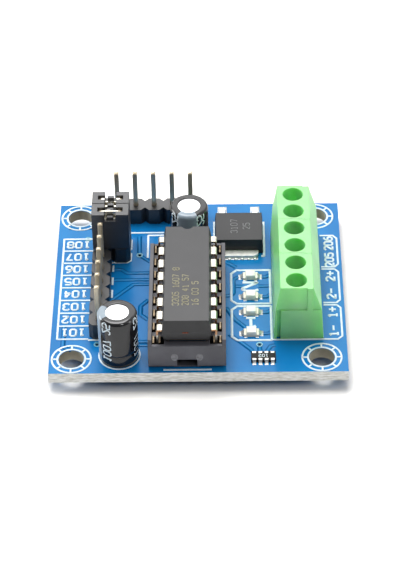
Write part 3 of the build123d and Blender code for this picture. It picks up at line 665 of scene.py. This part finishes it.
# Tinned copper strip, bare along the cut sides of the upper, wider part of each lead.
tinned_lead, tree, shader, place = new_finish("tinned_lead_frame", Metallic=0.85, Roughness=0.36)
height = add(tree, "ShaderNodeSeparateXYZ", {0: place.outputs["Object"]})
shoulder = maths(tree, "GREATER_THAN", height.outputs["Z"], 6.6 * mm)
cut_side = maths(tree, "MULTIPLY", faces_along(tree, place, "Y", 0.7), shoulder)
tin = drift(tree, place, 0.6, "b3afa4", "cecabf")
copper = drift(tree, place, 0.3, "8a5f42", "c9a07a")
tree.links.new(blend(tree, cut_side, tin, copper), shader.inputs["Base Color"])
grain(tree, place, shader, 0.12, 0.004)
dress(tinned_lead, "chip_leads")

# The laser marks plain numbers in the resin's skin.
laser_mark = two_tone("faded_laser_mark", "7d7960", "9c9678", 0.3, contrast=0.2, Roughness=0.6)
chip_top = 9.2
mark_lines = []
for text, x in (("3205 1607 8", -2.62), ("208 41 57", -1.36), ("16 03 5", -0.1)):
    mark_lines += number(text, x, -12.4, 0.82, 90, 0.6, 0.24, centred=False)
ribbons("chip_numbers", mark_lines, chip_top, 0.13, 0.008, 0.06, laser_mark)

# Bare copper, where the lead frame's tie bars were cut at both ends of the chip.
bare_copper = two_tone("cut_copper", "5a2a1e", "a05a44", 0.2, Metallic=1.0, Roughness=0.4)
stub_faces = [(4, 5, 6, 7), (0, 1, 5, 4), (1, 2, 6, 5), (2, 3, 7, 6), (3, 0, 4, 7)]
stubs = []
for y, out in ((-15.65, -1), (3.65, 1)):
    corners = [((chip_x + x) * mm, (y + depth * out) * mm, z * mm) for depth in (0.0, 0.05)
               for x, z in ((-0.55, 7.34), (0.25, 7.34), (0.25, 7.46), (-0.55, 7.46))]
    stubs.append((corners, [face[::-out] for face in stub_faces]))
solid_piece("chip_tie_bars", *joined(stubs), bare_copper, "tinned_lead")


# Pin headers: drawn square brass wire with rounded corners, tinned and pushed through strips of black
# polyester that snap apart between cells.
header_plastic = two_tone("black_header_polyester", "18181a", "222225", 2.5, (0.12, 0.006), edge=0.09,
                          Roughness=0.42, Specular_IOR_Level=0.8)
dress(header_plastic, "input_header", "enable_header", "supply_header")

# Tinned brass wire, drawn lengthwise, a little warm where the tin is thin.
pin_metal = two_tone("tinned_square_wire", "b8a88c", "e6d9bf", 1.2, (0.1, 0.003), edge=0.2, samples=8,
                     stretch=(1, 1, 0.3), Metallic=0.62, Roughness=0.32)
dress(pin_metal, "input_header_pins", "enable_header_pins", "supply_header_pins")


# Jumper caps: small black shells that hold a folded, sprung bronze clip and bridge two pins. They pull
# straight off.
cap_plastic = two_tone("black_cap_polyester", "1f1f22", "2c2c30", 2.5, (0.12, 0.01), edge=0.13,
                       Roughness=0.45, Specular_IOR_Level=1.0)
clip_metal = two_tone("tinned_spring_clip", "e6e1d2", "fbf8ee", 0.7, (0.2, 0.002), Metallic=0.8,
                      Roughness=0.2)

# Above the shell the clip ends in a straight lip and a short curl, or in two lips, and two ears stand beside
# the shell's tongue; each is (x0, x1, y0, y1, top) from the clip's middle.
cap_x = -11.63
clip_ends = {1: [(-1.15, 1.15, -0.41, -0.19, 10.08), (-0.62, -0.02, 0.04, 0.28, 9.8)],
             2: [(-1.24, -0.8, -0.4, -0.02, 10.0), (0.8, 1.24, -0.4, -0.02, 10.0)]}
clip_ears = [(-0.74, -0.47, -0.98, -0.66, 9.26), (0.47, 0.74, -0.98, -0.66, 9.26)]
for k, y in ((1, 6.01), (2, 8.55)):
    dress(cap_plastic, f"jumper_cap_{k}")
    dress(clip_metal, f"jumper_clip_{k}")
    tabs = joined([rolled_box(x0 + cap_x, x1 + cap_x, y0 + y, y1 + y, 9.0, top - 0.028, top, 0.02)
                   for x0, x1, y0, y1, top in clip_ends[k] + clip_ears])
    solid_piece(f"jumper_clip_lips_{k}", *tabs, clip_metal, "clip_metal", f"jumper_{k}")


# Screw terminals: two-pole blocks of light green polyamide, keyed side by side. In each pole a slotted steel
# screw lifts a folded cage that pinches the wire against a tinned bar.
terminal_plastic = two_tone("light_green_polyamide", "84d982", "94e491", 5, (0.2, 0.006), edge=0.16,
                            Roughness=0.36, Specular_IOR_Level=0.75, Subsurface_Weight=0.6,
                            Subsurface_Radius=(0.6, 1.0, 0.3), Subsurface_Scale=1.6 * mm)
zinc = two_tone("zinc_plated_steel", "a9abad", "c9cbcc", 0.8, (0.12, 0.006), Metallic=1.0, Roughness=0.35)
for k in (1, 2, 3):
    dress(terminal_plastic, f"terminal_housing_{k}")
for k in range(1, 7):
    dress(zinc, f"terminal_clamp_{k}", f"terminal_screw_{k}")
    dress(tinned_lead, f"terminal_contact_{k}")


# Capacitors: a drawn aluminium can, rolled in over its rubber bung to seal it, in a glossy film sleeve that
# shrinks over the shoulder. A grey stripe marks the negative lead.
capacitors = {"front": (-10.12, -13.55, 181, (237, 338)), "rear": (-1.01, 7.76, 264, (222, 308))}
film_radius = 2.6
stripe_reach = 0.58
lathe_sides = 72
sleeve_profile = [
    (2.1, 1.63), (2.44, 1.63), (2.56, 1.67), (2.6, 1.78), (2.6, 2.85), (2.59, 3.05), (2.55, 3.2), (2.5, 3.3),
    (2.485, 3.36), (2.5, 3.42), (2.55, 3.52), (2.59, 3.67), (2.6, 3.9), (2.6, 8.68), (2.58, 8.86),
    (2.52, 9.02), (2.42, 9.14), (2.28, 9.23), (2.1, 9.27), (1.62, 9.28), (1.55, 9.26), (1.52, 9.18)]
top_profile = [(1.55, 9.15), (1.45, 9.155), (1.2, 9.165), (0.6, 9.17), (0.0, 9.172)]
rim_profile = [(1.91, 2.4), (1.91, 1.86), (1.96, 1.76), (2.05, 1.73), (2.16, 1.76)]

# Bare drawn aluminium is bright and fine-grained; the bung is dull black rubber.
can_metal = two_tone("drawn_aluminium", "dfe2e4", "f6f7f7", 1.0, (0.2, 0.006), Metallic=1.0, Roughness=0.3)
bung_rubber = two_tone("black_rubber", "141414", "1c1c1c", 2.5, (0.1, 0.01), edge=0.07, Roughness=0.7)


def sleeve_finish(name, x, y, stripe_turn):
    """Black shrunk film with a printed stripe, told by its direction from the can's axis in degrees;
    stripe_reach is how far it goes to either side of that, in radians."""
    made, tree, shader, place = new_finish(name, Roughness=0.12, IOR=1.54)
    centred = add(tree, "ShaderNodeMapping", {"Vector": place.outputs["Object"],
                                              "Location": (-x * mm, -y * mm, 0)})
    turned = add(tree, "ShaderNodeMapping", {"Vector": centred.outputs[0],
                                             "Rotation": (0, 0, -radians(stripe_turn))})
    axes = add(tree, "ShaderNodeSeparateXYZ", {0: turned.outputs[0]})
    angle = maths(tree, "ARCTAN2", axes.outputs["Y"], axes.outputs["X"])
    in_stripe = maths(tree, "LESS_THAN", maths(tree, "ABSOLUTE", angle), stripe_reach)
    film = drift(tree, place, 2, "121214", "1a1a1d")
    stripe = drift(tree, place, 2, "8594a0", "9aa9b4")
    tree.links.new(blend(tree, in_stripe, film, stripe), shader.inputs["Base Color"])
    grain(tree, place, shader, 1.2, 0.01)
    return made


def film_at(z):
    """The film's radius at a height on the side of the can."""
    side = sleeve_profile[3:17]
    for (r0, z0), (r1, z1) in zip(side, side[1:]):
        if z0 <= z <= z1:
            return r0 + (r1 - r0) * (z - z0) / (z1 - z0)
    return film_radius


def printed_round(strokes, x, y, turn, width):
    """Flat strokes, (along the can, round the can) in millimetres, laid on the film as quads."""
    points, faces = [], []
    for path in strokes:
        fine = []
        for (u0, v0), (u1, v1) in zip(path, path[1:]):
            steps = max(1, round(((u1 - u0) ** 2 + (v1 - v0) ** 2) ** 0.5 / 0.15))
            fine += [(u0 + (u1 - u0) * k / steps, v0 + (v1 - v0) * k / steps) for k in range(steps)]
        fine.append(path[-1])
        first = len(points)
        for k, (u, v) in enumerate(fine):
            before, after = fine[max(k - 1, 0)], fine[min(k + 1, len(fine) - 1)]
            du, dv = after[0] - before[0], after[1] - before[1]
            size = (du * du + dv * dv) ** 0.5 or 1.0
            for side in (1, -1):
                a = radians(turn) + (v + side * du / size * width / 2) / film_radius
                z = u - side * dv / size * width / 2
                r = film_at(z) + 0.012
                points.append(((x + r * cos(a)) * mm, (y + r * sin(a)) * mm, z * mm))
        for k in range(first, first + 2 * len(fine) - 2, 2):
            faces.append((k, k + 2, k + 3, k + 1))
    return points, faces


for name, (x, y, stripe_turn, number_turns) in capacitors.items():
    finish = sleeve_finish(f"shrunk_film_{name}", x, y, stripe_turn)
    sleeve = lathe(sleeve_profile, x, y, lathe_sides)
    film = solid_piece(f"{name}_capacitor_film", *sleeve, finish, "sleeve_film", smooth=True)
    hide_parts(f"{name}_capacitor_sleeve")
    can = joined([lathe(profile, x, y, lathe_sides) for profile in (top_profile, rim_profile)])
    metal = solid_piece(f"{name}_capacitor_metal", *can, can_metal, "can_metal", smooth=True)
    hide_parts(f"{name}_capacitor_can")
    strokes = number("1007 25", 5.85, 0.0, 1.15, 0, 0.6, 0.22)
    printed = joined([printed_round(strokes, x, y, turn, 0.18) for turn in number_turns])
    solid_piece(f"{name}_capacitor_numbers", *printed, ink, "sleeve_film")
    dress(bung_rubber, f"{name}_capacitor_bung")
    dress(tinned_lead, f"{name}_capacitor_leads")


# Voltage regulator: a block of moulding epoxy on a tinned copper tab, soldered flat to the board by the tab
# and by two bent legs; the middle leg is cropped short.
regulator_epoxy = two_tone("satin_moulding_epoxy", "19191b", "222224", 3, (0.09, 0.01), edge=0.1,
                           Roughness=0.46, Specular_IOR_Level=0.42)
dress(regulator_epoxy, "regulator_body")

# Its laser mark is a faint grey.
faint_mark = two_tone("faint_laser_mark", "66666a", "848486", 0.3, Roughness=0.6)
regulator_top = 3.9
mark_lines = number("3107", 5.1, 9.6, 0.9, 90, 0.6) + number("25", 6.8, 9.6, 0.9, 90, 0.6)
ribbons("regulator_numbers", mark_lines, regulator_top, 0.12, 0.008, 0.06, faint_mark)

# Matt tin, frosted by the heat of soldering, reads almost as grey-white paint.
matt_tin = two_tone("matt_tin_plate", "d9d9d4", "f4f3ee", 0.7, (0.1, 0.006), Metallic=0.55, Roughness=0.5)
dress(matt_tin, "regulator_tab", "regulator_legs")

# Solder climbs each edge that it wets in a hollow ramp: wide at the pad, thin at the top.
ramps, given, output = geometry_tree("solder_ramps")
bar = add(ramps, "GeometryNodeMeshCube", {"Size": (1, 1, 1), "Vertices X": 9, "Vertices Y": 2,
                                          "Vertices Z": 2})
here = add(ramps, "GeometryNodeInputPosition")
axes = add(ramps, "ShaderNodeSeparateXYZ", {0: here.outputs[0]})
run = maths(ramps, "ADD", axes.outputs["X"], 0.5)
hollow = maths(ramps, "POWER", maths(ramps, "SUBTRACT", 1.0, run), 2.0)
crest = add(ramps, "ShaderNodeMapRange", {"Value": hollow, "To Min": 0.06, "To Max": 1.0})
lifted = maths(ramps, "MULTIPLY", maths(ramps, "ADD", axes.outputs["Z"], 0.5), crest.outputs[0])
moved = add(ramps, "ShaderNodeCombineXYZ", {0: run, 1: axes.outputs["Y"], 2: lifted})
wedge = add(ramps, "GeometryNodeSetPosition", {"Geometry": bar.outputs[0], "Position": moved.outputs[0]})
given_size = [add(ramps, "GeometryNodeInputNamedAttribute", {"Name": n}, data_type="FLOAT").outputs[0]
              for n in ("reach", "width", "rise", "turn")]
scale = add(ramps, "ShaderNodeCombineXYZ", {0: given_size[0], 1: given_size[1], 2: given_size[2]})
heading = add(ramps, "ShaderNodeCombineXYZ", {2: given_size[3]})
turned = add(ramps, "FunctionNodeEulerToRotation", {0: heading.outputs[0]})
placed = add(ramps, "GeometryNodeInstanceOnPoints", {
    "Points": given["Geometry"], "Instance": wedge.outputs[0], "Rotation": turned.outputs[0],
    "Scale": scale.outputs[0]})
close_tree(ramps, given, output, placed.outputs[0])


def solder_ramps(name, rows):
    """Ramps from (x, y, turn, reach, width, rise) rows in millimetres and degrees."""
    values = {"reach": [r[3] * mm for r in rows], "width": [r[4] * mm for r in rows],
              "rise": [r[5] * mm for r in rows], "turn": [radians(r[2]) for r in rows]}
    feet = [(r[0] * mm, r[1] * mm, board_top * mm) for r in rows]
    return grow(name, ramps, feet, [], {"Material": solder}, values)


# Levelled tin on the bare foil of a pad is thin and grey.
pad_tin = two_tone("levelled_tin_on_foil", "8c8e8d", "c4c5c2", 0.4, (0.25, 0.02), contrast=0.16,
                   Metallic=1.0, Roughness=0.42)


def pads(name, rectangles):
    """Flat pads, each (x0, x1, y0, y1) in millimetres, crowned a little by the solder on them."""
    crowned = [rolled_box(*r, board_top, board_top + 0.03, board_top + 0.06, 0.12) for r in rectangles]
    return solid_piece(name, *joined(crowned), pad_tin, "solder")


regulator_x = 5.76
leg_places = (regulator_x - 2.29, regulator_x + 2.29)
pads("regulator_pads", [(x - 0.62, x + 0.62, 13.9, 16.5) for x in leg_places] + [(3.1, 8.35, 5.2, 6.55)])
regulator_ramps = [(x, 15.45, 90, 0.9, 0.95, 0.42) for x in leg_places]
regulator_ramps += [(x + side * 0.4, 14.75, 90 - side * 90, 0.25, 1.3, 0.4) for x in leg_places
                    for side in (-1, 1)]
regulator_ramps += [(regulator_x, 5.47, 270, 0.2, 3.9, 0.3)]
solder_ramps("regulator_solder", regulator_ramps)
bead = [(0.25, 1.66), (0.24, 1.7), (0.19, 1.76), (0.1, 1.8), (0.0, 1.81)]
beads = joined([lathe(bead, 3.55 + 0.88 * k, 5.31, 12) for k in range(6)])
solid_piece("regulator_solder_beads", *beads, solder, "solder", smooth=True)


# Status lights: each is a milky resin lens cast on a white laminate base, soldered at both ends. Small
# hollow ramps of solder hold its four corners.
light_x = 7.22
light_rows = (1.6, -2.45, -5.55, -9.68)
led_base = two_tone("white_led_laminate", "e4dfcd", "f4f0e2", 2.5, (0.1, 0.005), edge=0.07, Roughness=0.5)
led_resin = two_tone("milky_casting_resin", "f4f0e4", "fcf8ee", 0.6, (0.2, 0.006), Roughness=0.2, IOR=1.5,
                     Subsurface_Weight=0.7, Subsurface_Radius=(1.0, 0.95, 0.8), Subsurface_Scale=0.6 * mm)
for k in range(1, 5):
    dress(led_base, f"led_base_{k}")
    dress(led_resin, f"led_lens_{k}")
pads("light_pads", [(x0, x1, y - 0.5, y + 0.5) for y in light_rows for x0, x1 in ((5.66, 6.3), (8.14, 8.8))])
light_ramps = [(light_x + side * 0.98, y, 90 - side * 90, 0.6, 0.85, 0.42) for y in light_rows
               for side in (-1, 1)]
light_ramps += [(light_x + side * 0.75, y + end * 0.6, end * 90, 0.22, 0.42, 0.3) for y in light_rows
                for side in (-1, 1) for end in (-1, 1)]
solder_ramps("light_solder", light_ramps)


# Resistor array: black glaze over a white ceramic chip, with four tinned ends along each side. It lies on
# eight small pads, and the glaze carries a plain number.
array_x = 8.72
array_y = -14.4
array_top = 2.1
array_glaze = two_tone("black_resistor_glaze", "151414", "211f1e", 2.5, (0.1, 0.006), edge=0.07,
                       Roughness=0.42, Specular_IOR_Level=0.15)
dress(array_glaze, "resistor_array")
dress(solder, "resistor_terminals")
array_columns = [array_x + 0.8 * (k - 1.5) for k in range(4)]
pads("array_pads", [(x - 0.26, x + 0.26, y0, y1) for x in array_columns
                    for y0, y1 in ((-15.7, -15.1), (-13.7, -13.1))])
solder_ramps("array_solder", [(x, array_y + side * 0.79, side * 90, 0.42, 0.42, 0.46) for x in array_columns
                              for side in (-1, 1)])
ribbons("array_number", number("102", array_x, array_y, 0.46, 180, 0.7), array_top, 0.1, 0.01, 0.04, ink)


# Last: the colours are shown through the standard view transform.
bpy.context.scene.view_settings.view_transform = "Standard"
